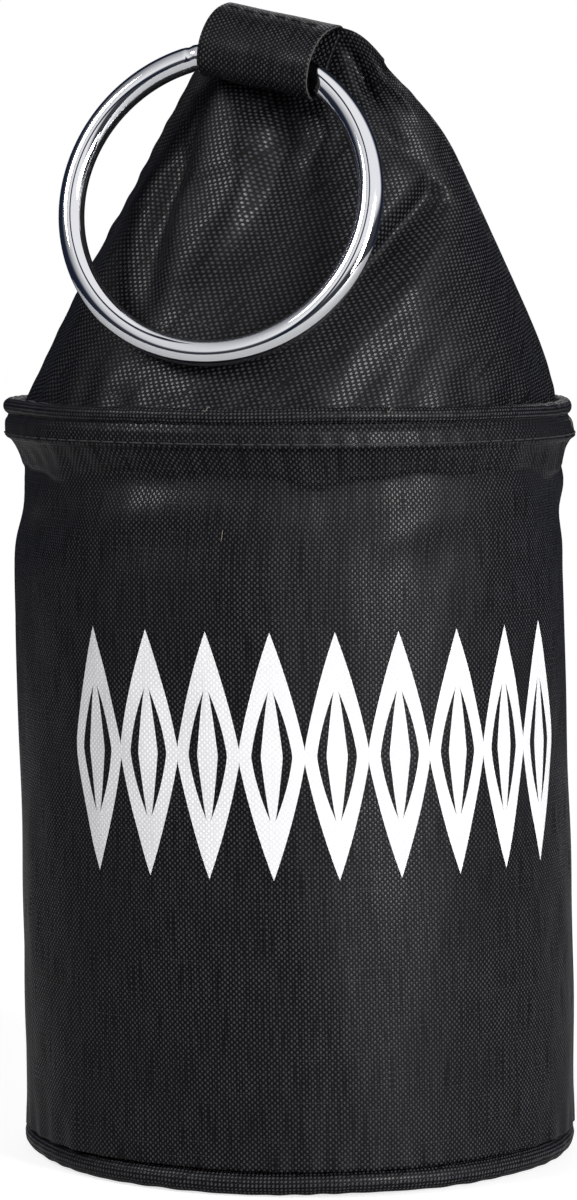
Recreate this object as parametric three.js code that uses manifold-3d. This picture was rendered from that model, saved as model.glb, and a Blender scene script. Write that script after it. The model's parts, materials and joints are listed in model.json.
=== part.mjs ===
// Weighted fabric door stop: a sand-filled drum of black cloth, closed at the top by two cloth panels that are
// pinched to a ridge. A cloth tab on the ridge holds a chromed steel carrying ring, which lies on the front panel.
// Millimetres, +Z up. The origin is the middle of the base, on the floor, and -Y is the printed front.

import * as THREE from "three";
import { mergeVertices } from "three/addons/utils/BufferGeometryUtils.js";
import Module from "manifold-3d";

const wasm = await Module();
wasm.setup();

// Cloth and seams
const clothThickness = 0.9;
const seamGap = 0.3; // clearance kept between sewn pieces
const fillingGap = 1; // clearance round what lies inside

// Drum
const drumRadius = 60.3; // outer radius of the cloth wall
const wallHeight = 156.1; // side panel, from the base binding to the rim
const topLean = 2.85; // how far the rim stands to the left of the base
const leanPower = 1.3;
const baseSwell = 0.55; // how far the full lower wall swells past the drum radius
const shoulderSwell = 0.1;
const shoulderDrop = 31.6; // below the top edge
const waistDepth = 1.7; // slack cloth pulled in under the hem
const waistDrop = 13.3; // below the top edge
const waistAside = 1.3; // the slack falls in more on the left than on the right
const waistReach = 10;
const hemSwell = 1.7;
const hemDrop = 3;
const backSeamHeight = 0.8; // felled seam that closes the side panel

// Base
const bindingRadius = 2.6; // rolled binding round the base seam
const bindingOverhang = 0.9; // past the drum radius

// Rim
const pipingRadius = 1.9;
const pipingOverhang = 2.3; // past the drum radius

// Roof
const roofRise = 84.5; // from the foot of the roof panels to the middle of the ridge
const ridgeLength = 38.2;
const ridgeForward = 30.5; // the ring pulls the ridge this far towards the front
const ridgeAside = 3.2; // and the ridge lies this far to the right of the rim's middle
const ridgeYaw = THREE.MathUtils.degToRad(-20.5);
const ridgeSlope = THREE.MathUtils.degToRad(-12);
const ridgeCrown = 2; // the middle of the ridge stands above its ends
const leftWave = 0.8; // the left edge swells low down and draws in above
const rightSwell = 4.3;
const frontSwell = 0.8;
const backSwell = 4;
const lowFoldDepth = 3.4; // drag line from the right shoulder down to the middle of the front
const lowFoldWidth = 0.075; // as a share of the panel
const tabFoldDepth = 3; // hollow from the tab down to the left
const tabFoldWidth = 0.07;
const cornerFoldDepth = 2; // short tuck above the rim on the right

// Ring
const ringBore = 60;
const ringWire = 5.5;

// Tab
const tabWidth = 25;
const tabFromMiddle = -2.8; // along the ridge, from its middle to the middle of the tab
const tabDrop = 10.2; // from the top of the ridge down to the middle of the loop
const tongueLength = 4.2; // both layers of the tab, sewn to the front of the ridge

// Filling
const sandDepth = 70;
const sandCorner = 9;

// Print
const lozengeCount = 9;
const printHeight = 52;
const printArc = THREE.MathUtils.degToRad(117);
const printTurn = THREE.MathUtils.degToRad(8.6); // its middle lies this far round to the right
const printMiddle = 93; // height of its middle above the floor
const inkThickness = 0.3;
const strokeWidth = 3; // of a lozenge's leg, measured level
const spindleWidth = 4.6;
const spindleTip = 0.9;
const neckHeight = 3.2; // where two lozenges touch
const legBow = 0.5;
const spindleBow = 0.2;

// Heights and radii that follow
const baseSeamHeight = 2 * bindingRadius;
const wallBottom = baseSeamHeight + seamGap;
const wallTop = wallBottom + wallHeight;
const pipingMiddle = wallTop + seamGap + pipingRadius;
const pipingMajor = drumRadius + pipingOverhang - pipingRadius;
const roofFootRadius = pipingMajor - pipingRadius - seamGap;
const roofFoot = wallTop + clothThickness;
const bindingMajor = drumRadius + bindingOverhang - bindingRadius;
const sandFloor = clothThickness + seamGap;

const clothBlack = new THREE.MeshStandardMaterial({ color: 0x1b1b1e, roughness: 0.85, metalness: 0 });
const pipingBlack = new THREE.MeshStandardMaterial({ color: 0x1f1f22, roughness: 0.8, metalness: 0 });
const chrome = new THREE.MeshStandardMaterial({ color: 0xd9dade, roughness: 0.06, metalness: 1 });
const whiteInk = new THREE.MeshStandardMaterial({ color: 0xeaeaec, roughness: 0.7, metalness: 0 });
const clearPolythene = new THREE.MeshStandardMaterial({ color: 0xc8b48c, roughness: 0.4, metalness: 0 });
const whiteFibre = new THREE.MeshStandardMaterial({ color: 0xe8e8e4, roughness: 1, metalness: 0 });

const vector = (x, y, z) => new THREE.Vector3(x, y, z);
const mix = (a, b, share) => a.clone().lerp(b, share);

// The drum's axis leans to the left as it rises, and stands a little to the right at the waist.
function axisAt(height) {
  const share = Math.max(0, height) / pipingMiddle;
  const fromWaist = (height - wallTop + waistDrop) / waistReach;
  return waistAside * Math.exp(-(fromWaist ** 2)) - topLean * share ** leanPower;
}

// The outline of the wall's outer face, from the base seam to the top edge.
const wallCurve = new THREE.SplineCurve([
  new THREE.Vector2(drumRadius + baseSwell, wallBottom),
  new THREE.Vector2(drumRadius + baseSwell, wallBottom + 0.28 * wallHeight),
  new THREE.Vector2(drumRadius, wallBottom + 0.5 * wallHeight),
  new THREE.Vector2(drumRadius + shoulderSwell, wallTop - shoulderDrop),
  new THREE.Vector2(drumRadius - waistDepth, wallTop - waistDrop),
  new THREE.Vector2(drumRadius - waistDepth / 2, wallTop - 0.7 * waistDrop),
  new THREE.Vector2(drumRadius + hemSwell, wallTop - hemDrop),
  new THREE.Vector2(drumRadius + hemSwell / 3, wallTop),
]);
const wallOutline = wallCurve.getPoints(21);
const roundSegments = 64;

function wallRadiusAt(height) {
  const above = wallOutline.findIndex((point) => point.y > height);
  if (above < 1) {
    return above === 0 ? wallOutline[0].x : wallOutline.at(-1).x;
  }
  const low = wallOutline[above - 1];
  const high = wallOutline[above];
  return low.x + ((high.x - low.x) * (height - low.y)) / (high.y - low.y);
}

// Moves each vertex of a geometry by a function that changes the vertex in place.
function reshape(geometry, change) {
  const position = geometry.getAttribute("position");
  const point = vector(0, 0, 0);
  for (let i = 0; i < position.count; i++) {
    point.fromBufferAttribute(position, i);
    change(point);
    position.setXYZ(i, point.x, point.y, point.z);
  }
  geometry.computeVertexNormals();
  return geometry;
}

// A profile of radius and height, turned round the drum's leaning axis.
function turned(profile, segments) {
  const geometry = new THREE.LatheGeometry(profile, segments);
  geometry.rotateX(Math.PI / 2);
  return reshape(geometry, (point) => {
    point.x += axisAt(point.z);
  });
}

// A closed roll of cloth round the drum.
function roll(major, minor, height) {
  const section = [];
  const steps = 10;
  for (let i = 0; i <= steps; i++) {
    const angle = (2 * Math.PI * i) / steps - Math.PI / 2;
    section.push(new THREE.Vector2(major + minor * Math.cos(angle), height + minor * Math.sin(angle)));
  }
  return turned(section, roundSegments);
}

// Rows of points, all of one length, skinned as quads. Ends that aren't joined are left open.
function skin(rows, indices, offset, reversed) {
  const width = rows[0].length;
  for (let row = 0; row + 1 < rows.length; row++) {
    for (let column = 0; column + 1 < width; column++) {
      const a = offset + row * width + column;
      const [b, c, d] = [a + 1, a + width + 1, a + width];
      indices.push(...(reversed ? [a, c, b, a, d, c] : [a, b, c, a, c, d]));
    }
  }
}

function geometryOf(points, indices) {
  const geometry = new THREE.BufferGeometry().setFromPoints(points);
  geometry.setIndex(indices);
  geometry.computeVertexNormals();
  return geometry;
}

// A sheet of cloth between an outer and an inner grid of points, closed along its four edges.
function sheetGeometry(outer, inner, reversed) {
  const rows = outer.length;
  const width = outer[0].length;
  const points = [...outer.flat(), ...inner.flat()];
  const indices = [];
  const back = rows * width;
  skin(outer, indices, 0, reversed);
  skin(inner, indices, back, !reversed);
  const edge = (a, b) => {
    const quad = reversed ? [a, b, b + back, a, b + back, a + back] : [b, a, a + back, b, a + back, b + back];
    indices.push(...quad);
  };
  for (let column = 0; column + 1 < width; column++) {
    edge(column, column + 1);
    edge((rows - 1) * width + column + 1, (rows - 1) * width + column);
  }
  for (let row = 0; row + 1 < rows; row++) {
    edge((row + 1) * width, row * width);
    edge(row * width + width - 1, (row + 1) * width + width - 1);
  }
  return geometryOf(points, indices);
}

// A solid through rings of points, with a fan at each end.
function loftGeometry(rings) {
  const count = rings[0].length;
  const points = rings.flat();
  const indices = [];
  rings.slice(1).forEach((_, row) => {
    for (let i = 0; i < count; i++) {
      const next = (i + 1) % count;
      const [a, b, c, d] = [row * count + i, row * count + next, (row + 1) * count + next, (row + 1) * count + i];
      indices.push(a, b, c, a, c, d);
    }
  });
  const centreOf = (ring) => ring.reduce((sum, point) => sum.add(point), vector(0, 0, 0)).divideScalar(count);
  const bottom = points.push(centreOf(rings[0])) - 1;
  const top = points.push(centreOf(rings.at(-1))) - 1;
  const lastRing = (rings.length - 1) * count;
  for (let i = 0; i < count; i++) {
    const next = (i + 1) % count;
    indices.push(bottom, next, i, top, lastRing + i, lastRing + next);
  }
  return geometryOf(points, indices);
}

// The ridge: its direction to the right, the level direction out to the front of it, and up.
const ridgeAlong = vector(
  Math.cos(ridgeSlope) * Math.cos(ridgeYaw),
  Math.cos(ridgeSlope) * Math.sin(ridgeYaw),
  Math.sin(ridgeSlope),
);
const ridgeOut = vector(Math.sin(ridgeYaw), -Math.cos(ridgeYaw), 0);
const ridgeUp = ridgeOut.clone().cross(ridgeAlong);
const ridgeMiddle = vector(axisAt(roofFoot) + ridgeAside, -ridgeForward, roofFoot + roofRise - ridgeCrown);
const ridgeLeft = ridgeMiddle.clone().addScaledVector(ridgeAlong, -ridgeLength / 2);
const ridgeRight = ridgeMiddle.clone().addScaledVector(ridgeAlong, ridgeLength / 2);
const ridgeHalf = clothThickness + seamGap / 2; // half the thickness of the closed ridge

const footMiddle = vector(axisAt(roofFoot), 0, roofFoot);
const footPoint = (x, y) => footMiddle.clone().add(vector(x * roofFootRadius, y * roofFootRadius, 0));
const swellShape = (share) => 1 - Math.abs(2 * share - 1) ** 5;

// The four edges and middles of the roof, from its foot at share 0 to the ridge at share 1.
function leftEdge(share) {
  return mix(footPoint(-1, 0), ridgeLeft, share).add(vector(-leftWave * Math.sin(2 * Math.PI * share), 0, 0));
}

function rightEdge(share) {
  return mix(footPoint(1, 0), ridgeRight, share).add(vector(rightSwell * swellShape(share), 0, 0));
}

function frontLine(share) {
  const top = ridgeMiddle.clone().addScaledVector(ridgeOut, ridgeHalf);
  return mix(footPoint(0, -1), top, share).add(vector(0, -frontSwell * Math.sin(Math.PI * share), 0));
}

function backLine(share) {
  const top = ridgeMiddle.clone().addScaledVector(ridgeOut, -ridgeHalf);
  return mix(footPoint(0, 1), top, share).add(vector(0, backSwell * Math.sin(Math.PI * share), 0));
}

// A soft crease between two places on a panel, each a share across and a share up.
function crease(across, up, from, to, width, depth) {
  const along = [to[0] - from[0], to[1] - from[1]];
  const length = Math.hypot(...along);
  const travel = ((across - from[0]) * along[0] + (up - from[1]) * along[1]) / length ** 2;
  const aside = ((across - from[0]) * along[1] - (up - from[1]) * along[0]) / length;
  const ends = Math.exp(-((Math.max(0, -travel, travel - 1) * length) ** 2) / width ** 2);
  return -depth * ends * Math.exp(-((aside / width) ** 2));
}

function frontFolds(across, up) {
  const drag = crease(across, up, [0.8, 0.52], [0.5, 0.16], lowFoldWidth, lowFoldDepth);
  const hollow = crease(across, up, [0.56, 0.86], [0.26, 0.2], tabFoldWidth, tabFoldDepth);
  const corner = crease(across, up, [0.93, 0.14], [0.86, 0.04], lowFoldWidth / 2, cornerFoldDepth);
  return drag + hollow + corner;
}

function backFolds(across, up) {
  const left = crease(across, up, [0.4, 0.85], [0.24, 0.25], tabFoldWidth, tabFoldDepth);
  const right = crease(across, up, [0.62, 0.8], [0.72, 0.3], lowFoldWidth, tabFoldDepth);
  return left + right;
}

// A point of the roof: share across from left to right, share up, and how far inside the outer face.
function roofPoint(isFront, across, up, inside) {
  const left = leftEdge(up);
  const right = rightEdge(up);
  const middle = mix(left, right, 0.5);
  const half = right.clone().sub(middle);
  const out = (isFront ? frontLine(up) : backLine(up)).sub(middle);
  const seam = out.clone().setLength(Math.min(seamGap * 0.7, out.length()));
  half.setLength(Math.max(half.length() - inside, 0.1));
  out.sub(seam).setLength(Math.max(out.length() - inside, 0.1));
  const angle = Math.PI * across;
  const fold = (isFront ? frontFolds : backFolds)(across, up) * Math.sin(angle) * (1 - up ** 8);
  const crown = ridgeCrown * up ** 3 * Math.sin(angle);
  return middle
    .add(seam)
    .addScaledVector(half, -Math.cos(angle))
    .addScaledVector(out, Math.sin(angle))
    .addScaledVector(out.clone().setLength(1), fold)
    .add(vector(0, 0, crown));
}

function roofGrid(isFront, inside, columns, rows) {
  const grid = [];
  for (let row = 0; row <= rows; row++) {
    const line = [];
    for (let column = 0; column <= columns; column++) {
      line.push(roofPoint(isFront, column / columns, row / rows, inside));
    }
    grid.push(line);
  }
  return grid;
}

function roofPanel(isFront) {
  const columns = 32;
  const rows = 20;
  const outer = roofGrid(isFront, 0, columns, rows);
  const inner = roofGrid(isFront, clothThickness, columns, rows);
  return sheetGeometry(outer, inner, !isFront);
}

function sidePanel() {
  const inward = wallCurve.getPoints(14).map((point) => new THREE.Vector2(point.x - clothThickness, point.y));
  const geometry = turned([...wallOutline, ...inward.reverse(), wallOutline[0]], roundSegments);
  const lapHalfAngle = THREE.MathUtils.degToRad(4);
  return reshape(geometry, (point) => {
    const middle = axisAt(point.z);
    const radius = Math.hypot(point.x - middle, point.y);
    const isOuter = radius > wallRadiusAt(point.z) - clothThickness / 2;
    const turn = Math.abs(Math.atan2(point.x - middle, point.y));
    if (isOuter && turn < lapHalfAngle) {
      point.y += backSeamHeight;
    }
  });
}

function basePanel() {
  const edgeRadius = bindingMajor - bindingRadius - seamGap;
  const profile = [
    [0, 0],
    [edgeRadius - bindingRadius / 2, 0],
    [edgeRadius - bindingRadius / 8, bindingRadius / 3],
    [edgeRadius, bindingRadius],
    [edgeRadius - clothThickness, bindingRadius],
    [edgeRadius - clothThickness - bindingRadius / 8, bindingRadius / 3 + clothThickness / 2],
    [edgeRadius - bindingRadius / 2 - clothThickness / 2, clothThickness],
    [0, clothThickness],
  ];
  return turned(profile.map(([radius, height]) => new THREE.Vector2(radius, height)), roundSegments);
}

function sandPouch() {
  const room = Math.min(wallRadiusAt(wallBottom), wallRadiusAt(sandDepth)) - clothThickness - fillingGap;
  const top = sandFloor + sandDepth;
  const corner = Math.min(sandCorner, sandDepth / 2.5);
  const profile = [new THREE.Vector2(0, sandFloor)];
  const steps = 5;
  for (let i = 0; i <= steps; i++) {
    const angle = (Math.PI / 2) * (i / steps);
    const radius = room - corner + corner * Math.sin(angle);
    profile.push(new THREE.Vector2(radius, sandFloor + corner - corner * Math.cos(angle)));
  }
  for (let i = 0; i <= steps; i++) {
    const angle = (Math.PI / 2) * (i / steps);
    const radius = room - corner + corner * Math.cos(angle);
    profile.push(new THREE.Vector2(radius, top - corner + corner * Math.sin(angle)));
  }
  profile.push(new THREE.Vector2(0, top));
  return turned(profile, 36);
}

function fibreFilling() {
  const around = 36;
  const angles = Array.from({ length: around }, (_, i) => (2 * Math.PI * i) / around);
  const start = sandFloor + sandDepth + seamGap;
  const neck = roofFoot - fillingGap;
  const rings = [];
  const drumRows = 8;
  for (let row = 0; row <= drumRows; row++) {
    const height = start + ((neck - start) * row) / drumRows;
    const inRoof = height > wallTop - hemDrop ? roofFootRadius : wallRadiusAt(height);
    const rounded = row === 0 ? sandCorner / 2 : 0;
    const radius = Math.min(wallRadiusAt(height), inRoof) - clothThickness - fillingGap - rounded;
    const middle = axisAt(height);
    rings.push(angles.map((a) => vector(middle - radius * Math.cos(a), -radius * Math.sin(a), height)));
  }
  const roofRows = 8;
  const lastShare = 0.86;
  for (let row = 0; row <= roofRows; row++) {
    const up = 0.03 + ((lastShare - 0.03) * row) / roofRows;
    const inside = clothThickness + fillingGap;
    rings.push(
      angles.map((a) => {
        const isFront = a <= Math.PI;
        return roofPoint(isFront, (isFront ? a : 2 * Math.PI - a) / Math.PI, up, inside);
      }),
    );
  }
  return loftGeometry(rings);
}

// The loop's axis runs along the ridge, in front of it. The wire is bent, so the axis lies between its extremes.
const ringRadius = (ringBore + ringWire) / 2;
const wireBow = ringRadius - Math.sqrt(ringRadius ** 2 - (tabWidth / 2) ** 2);
const wireSlope = Math.asin(tabWidth / 2 / ringRadius); // where the wire leaves the loop
const tunnelRadius = wireBow / 2 + ringWire / 2 / Math.cos(wireSlope) + seamGap;
const loopRadius = tunnelRadius + clothThickness;
const tabTop = ridgeMiddle
  .clone()
  .addScaledVector(ridgeAlong, tabFromMiddle)
  .add(vector(0, 0, ridgeCrown));

// The front panel's face under the tab, as pairs of how far out and how far down from the top of the tab.
const frontFace = roofGrid(true, 0, 60, 90).flat();
const faceUnderTab = frontFace
  .map((point) => point.clone().sub(tabTop))
  .filter((offset) => Math.abs(offset.dot(ridgeAlong)) < tabWidth / 2)
  .map((offset) => ({ out: offset.dot(ridgeOut), down: -offset.dot(ridgeUp) }));

// How far out a roll of a given radius has to stand to clear the face, with its middle at a given distance down.
function restOut(radius, down) {
  const reach = radius + seamGap;
  const near = faceUnderTab.filter((place) => Math.abs(place.down - down) < reach);
  return Math.max(...near.map((place) => place.out + Math.sqrt(reach ** 2 - (place.down - down) ** 2)));
}

const loopAxis = tabTop
  .clone()
  .addScaledVector(ridgeOut, restOut(loopRadius, tabDrop))
  .addScaledVector(ridgeUp, -tabDrop);

// The ring's middle when it hangs at an angle forward of the ridge's own down.
function ringMiddleAt(angle) {
  const down = ridgeUp.clone().multiplyScalar(-Math.cos(angle)).addScaledVector(ridgeOut, Math.sin(angle));
  return loopAxis.clone().addScaledVector(down, ringRadius - wireBow / 2);
}

function ringNormalAt(angle) {
  return ridgeOut.clone().multiplyScalar(Math.cos(angle)).addScaledVector(ridgeUp, Math.sin(angle));
}

// The ring falls towards the roof until its wire meets the front panel or the piping.
function restingAngle() {
  const touch = [...frontFace];
  for (let i = 0; i <= 60; i++) {
    const angle = (Math.PI * i) / 60;
    touch.push(
      vector(
        axisAt(pipingMiddle) - pipingMajor * Math.cos(angle),
        -pipingMajor * Math.sin(angle),
        pipingMiddle + pipingRadius,
      ),
    );
  }
  const clearOf = (angle) => {
    const middle = ringMiddleAt(angle);
    const normal = ringNormalAt(angle);
    return touch.every((point) => {
      const offset = point.clone().sub(middle);
      const height = offset.dot(normal);
      const level = Math.sqrt(Math.max(offset.lengthSq() - height ** 2, 0));
      return Math.hypot(level - ringRadius, height) > ringWire / 2 + seamGap;
    });
  };
  const step = THREE.MathUtils.degToRad(0.1);
  let angle = Math.PI / 2;
  while (clearOf(angle - step) && angle > -Math.PI / 4) {
    angle -= step;
  }
  return angle;
}

const ringAngle = restingAngle();

function carryRing() {
  const geometry = new THREE.TorusGeometry(ringRadius, ringWire / 2, 16, 72);
  const normal = ringNormalAt(ringAngle);
  const frame = new THREE.Matrix4().makeBasis(ridgeAlong, normal.clone().cross(ridgeAlong), normal);
  return geometry.applyMatrix4(frame.setPosition(ringMiddleAt(ringAngle)));
}

// The outline round two circles, as a belt round two pulleys.
function beltShape(first, firstRadius, second, secondRadius) {
  const span = second.clone().sub(first);
  const heading = Math.atan2(span.y, span.x);
  const spread = Math.acos((firstRadius - secondRadius) / span.length());
  const shape = new THREE.Path();
  shape.absarc(first.x, first.y, firstRadius, heading + spread, heading - spread + 2 * Math.PI, false);
  shape.absarc(second.x, second.y, secondRadius, heading - spread, heading + spread, false);
  return new THREE.Shape(shape.getPoints(14));
}

// Turns a geometry into a solid that booleans can use, and back.
function solidOf(geometry) {
  const bare = geometry.clone();
  bare.deleteAttribute("normal");
  bare.deleteAttribute("uv");
  const merged = mergeVertices(bare, 1e-4);
  const triVerts = new Uint32Array(merged.index.array);
  return new wasm.Manifold(new wasm.Mesh({ numProp: 3, vertProperties: merged.attributes.position.array, triVerts }));
}

function geometryFrom(solid) {
  const mesh = solid.getMesh();
  const geometry = new THREE.BufferGeometry();
  geometry.setAttribute("position", new THREE.BufferAttribute(mesh.vertProperties, mesh.numProp));
  geometry.setIndex(new THREE.BufferAttribute(mesh.triVerts, 1));
  geometry.computeVertexNormals();
  return geometry;
}

// A folded strip: a loop round the wire, and a double tongue that lies on the front of the ridge.
function ringTab() {
  const half = clothThickness + seamGap / 6;
  const place = (down, radius) => new THREE.Vector2(restOut(radius, down), -down);
  const middle = place(tabDrop, loopRadius);
  const join = place(tongueLength, half);
  const end = place(half, half);
  const extrude = (shape, margin) => {
    const geometry = new THREE.ExtrudeGeometry(shape, { depth: tabWidth + 2 * margin, bevelEnabled: false });
    return solidOf(geometry.translate(0, 0, -tabWidth / 2 - margin));
  };
  const loop = extrude(beltShape(middle, loopRadius, join, half), 0);
  const tongue = extrude(beltShape(join, half, end, half), 0);
  const tunnel = extrude(beltShape(middle, tunnelRadius, join, half - clothThickness), 1);
  const frame = new THREE.Matrix4().makeBasis(ridgeOut, ridgeUp, ridgeOut.clone().cross(ridgeUp));
  return geometryFrom(loop.add(tongue).subtract(tunnel)).applyMatrix4(frame.setPosition(tabTop));
}

// A row of tall lozenges that touch, each with a spindle down its middle, in one coat of ink on the drum's front.
function printedBand() {
  const pitch = (printArc * drumRadius) / lozengeCount;
  const top = printHeight / 2;
  const neck = neckHeight / 2;
  const legSlope = (top - neck) / (pitch / 2);
  const innerHalf = pitch / 2 - strokeWidth + neck / legSlope;
  const innerTop = legSlope * (innerHalf - spindleTip / 2);
  const left = (-lozengeCount * pitch) / 2;
  const middles = Array.from({ length: lozengeCount }, (_, i) => left + (i + 0.5) * pitch);
  const curveTo = (path, x, y, bow) => {
    const from = path.currentPoint;
    path.quadraticCurveTo((from.x + x) / 2 + 2 * bow, (from.y + y) / 2, x, y);
  };
  const shape = new THREE.Shape();
  shape.moveTo(left, -neck);
  for (const middle of middles) {
    curveTo(shape, middle, -top, -legBow);
    curveTo(shape, middle + pitch / 2, -neck, legBow);
  }
  shape.lineTo(-left, neck);
  for (const middle of middles.toReversed()) {
    curveTo(shape, middle, top, legBow);
    curveTo(shape, middle - pitch / 2, neck, -legBow);
  }
  for (const middle of middles) {
    for (const side of [-1, 1]) {
      const hole = new THREE.Path();
      const tip = middle + (side * spindleTip) / 2;
      hole.moveTo(tip, innerTop);
      curveTo(hole, middle + side * innerHalf, 0, side * legBow);
      curveTo(hole, tip, -innerTop, side * legBow);
      curveTo(hole, middle + (side * spindleWidth) / 2, 0, side * spindleBow);
      curveTo(hole, tip, innerTop, side * spindleBow);
      shape.holes.push(hole);
    }
  }
  const options = { depth: inkThickness, curveSegments: 5, bevelEnabled: false };
  return reshape(new THREE.ExtrudeGeometry(shape, options), (point) => {
    const height = printMiddle + point.y;
    const angle = printTurn + point.x / drumRadius;
    const radius = wallRadiusAt(height) + seamGap + point.z;
    point.set(axisAt(height) + radius * Math.sin(angle), -radius * Math.cos(angle), height);
  });
}

const group = new THREE.Group();
const pieces = [
  ["base_panel", basePanel(), clothBlack],
  ["base_binding", roll(bindingMajor, bindingRadius, bindingRadius), pipingBlack],
  ["side_panel", sidePanel(), clothBlack],
  ["rim_piping", roll(pipingMajor, pipingRadius, pipingMiddle), pipingBlack],
  ["roof_front_panel", roofPanel(true), clothBlack],
  ["roof_back_panel", roofPanel(false), clothBlack],
  ["ring_tab", ringTab(), clothBlack],
  ["carry_ring", carryRing(), chrome],
  ["printed_band", printedBand(), whiteInk],
  ["sand_pouch", sandPouch(), clearPolythene],
  ["fibre_filling", fibreFilling(), whiteFibre],
];
for (const [name, geometry, material] of pieces) {
  const mesh = new THREE.Mesh(geometry, material);
  mesh.name = name;
  group.add(mesh);
}

export default group;
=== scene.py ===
import json
import math

import bpy
import numpy as np
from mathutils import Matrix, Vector


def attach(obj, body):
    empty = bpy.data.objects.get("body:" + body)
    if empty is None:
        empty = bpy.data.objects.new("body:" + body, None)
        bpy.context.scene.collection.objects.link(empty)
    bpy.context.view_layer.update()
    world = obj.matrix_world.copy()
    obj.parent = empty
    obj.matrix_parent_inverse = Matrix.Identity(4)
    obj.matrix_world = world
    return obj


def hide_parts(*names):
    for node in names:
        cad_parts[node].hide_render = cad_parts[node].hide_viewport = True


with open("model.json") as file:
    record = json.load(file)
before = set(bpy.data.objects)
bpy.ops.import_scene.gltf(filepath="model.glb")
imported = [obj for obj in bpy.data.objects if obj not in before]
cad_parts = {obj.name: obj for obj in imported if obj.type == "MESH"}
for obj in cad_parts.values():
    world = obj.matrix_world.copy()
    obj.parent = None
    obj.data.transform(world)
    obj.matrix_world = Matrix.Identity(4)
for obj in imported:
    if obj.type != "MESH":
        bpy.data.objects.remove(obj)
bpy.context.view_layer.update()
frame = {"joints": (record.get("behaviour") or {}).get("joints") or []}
scene = bpy.context.scene
mm = 0.001


# helpers for meshes

def mix(a, b, share):
    return a + (b - a) * share


def bump(distance, width):
    return np.exp(-(distance / width) ** 2)


def smoothStep(value, low, high):
    share = np.clip((value - low) / (high - low), 0, 1)
    return share * share * (3 - 2 * share)


def throughPoints(places, count):
    # a smooth line through places, the same number of steps between each two
    places = np.array(places, float)
    padded = np.vstack([2 * places[0] - places[1], places, 2 * places[-1] - places[-2]])
    at = np.linspace(0, len(places) - 1, count)
    first = np.minimum(at.astype(int), len(places) - 2)
    t = (at - first)[:, None]
    a, b, c, d = (padded[first + i] for i in range(4))
    return 0.5 * (2 * b + (c - a) * t + (2 * a - 5 * b + 4 * c - d) * t**2 + (3 * b - a - 3 * c + d) * t**3)


def lengthsOf(vectors):
    return np.linalg.norm(vectors, axis=-1, keepdims=True)


def surfaceNormals(grid):
    # outward normals of a grid whose columns run to the right and whose rows run up
    across = np.gradient(grid, axis=1)
    up = np.gradient(grid, axis=0)
    normals = np.cross(across, up)
    return normals / np.maximum(lengthsOf(normals), 1e-12)


def newPiece(name, vertices, faces, uvs=None):
    # uvs are given for each corner of each face, in metres of cloth
    mesh = bpy.data.meshes.new(name)
    mesh.from_pydata(vertices, [], faces)
    if uvs is not None:
        layer = mesh.uv_layers.new(name="cloth")
        layer.data.foreach_set("uv", np.array(uvs, np.float32).ravel())
    mesh.update()
    piece = bpy.data.objects.new(name, mesh)
    scene.collection.objects.link(piece)
    return piece


def gridMesh(name, grid, uv, closedAcross=False, closedUp=False):
    # a piece of cloth from rows of points
    rows, columns = grid.shape[:2]
    faces = []
    corners = []
    for row in range(rows if closedUp else rows - 1):
        nextRow = (row + 1) % rows
        for column in range(columns if closedAcross else columns - 1):
            nextColumn = (column + 1) % columns
            faces.append((row * columns + column, row * columns + nextColumn,
                          nextRow * columns + nextColumn, nextRow * columns + column))
            corners += [(row, column), (row, column + 1), (row + 1, column + 1), (row + 1, column)]
    corners = np.array(corners)
    return newPiece(name, grid.reshape(-1, 3).tolist(), faces, uv[corners[:, 0], corners[:, 1]])


def clothUv(uLine, vLine, turn=0.0):
    # one more row and column than the points, for the faces that close the grid
    u, v = np.meshgrid(uLine, vLine)
    c, s = math.cos(turn), math.sin(turn)
    return np.stack([u * c - v * s, u * s + v * c], axis=-1)


def selectOnly(piece):
    bpy.ops.object.select_all(action="DESELECT")
    piece.select_set(True)
    bpy.context.view_layer.objects.active = piece


def closeUp(piece, threshold=1e-6):
    # merges doubled points and turns every face outwards
    selectOnly(piece)
    bpy.ops.object.mode_set(mode="EDIT")
    bpy.ops.mesh.select_all(action="SELECT")
    bpy.ops.mesh.remove_doubles(threshold=threshold)
    bpy.ops.mesh.normals_make_consistent(inside=False)
    bpy.ops.object.mode_set(mode="OBJECT")


def applyModifier(piece, kind, **settings):
    selectOnly(piece)
    modifier = piece.modifiers.new(kind.title(), kind)
    for key, value in settings.items():
        setattr(modifier, key, value)
    bpy.ops.object.modifier_apply(modifier=modifier.name)


def finishPiece(piece, material, body, slot, *nodes):
    piece.data.materials.clear()
    piece.data.materials.append(material)
    selectOnly(piece)
    bpy.ops.object.shade_smooth()
    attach(piece, body)
    if nodes:
        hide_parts(*nodes)
    return piece


# helpers for materials

def linearOf(hexColour):
    channels = [int(hexColour[i:i + 2], 16) / 255 for i in (1, 3, 5)]
    return [c / 12.92 if c <= 0.04045 else ((c + 0.055) / 1.055) ** 2.4 for c in channels] + [1.0]


def addNode(tree, kind, settings=None, **links):
    # a link is a socket, and anything else is the input's value;
    # inputs are given by place as in0, in1, ... or by name
    node = tree.nodes.new(kind)
    for key, value in (settings or {}).items():
        setattr(node, key, value)
    for key, value in links.items():
        byPlace = key.startswith("in") and key[2:].isdigit()
        socket = node.inputs[int(key[2:]) if byPlace else key.replace("_", " ")]
        if isinstance(value, bpy.types.NodeSocket):
            tree.links.new(value, socket)
        else:
            socket.default_value = value
    return node


def maths(tree, operation, *values):
    inputs = {"in" + str(place): value for place, value in enumerate(values)}
    return addNode(tree, "ShaderNodeMath", {"operation": operation}, **inputs).outputs[0]


def ranged(tree, value, given, wanted):
    return addNode(tree, "ShaderNodeMapRange", in0=value, in1=given[0], in2=given[1],
                   in3=wanted[0], in4=wanted[1]).outputs[0]


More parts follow.
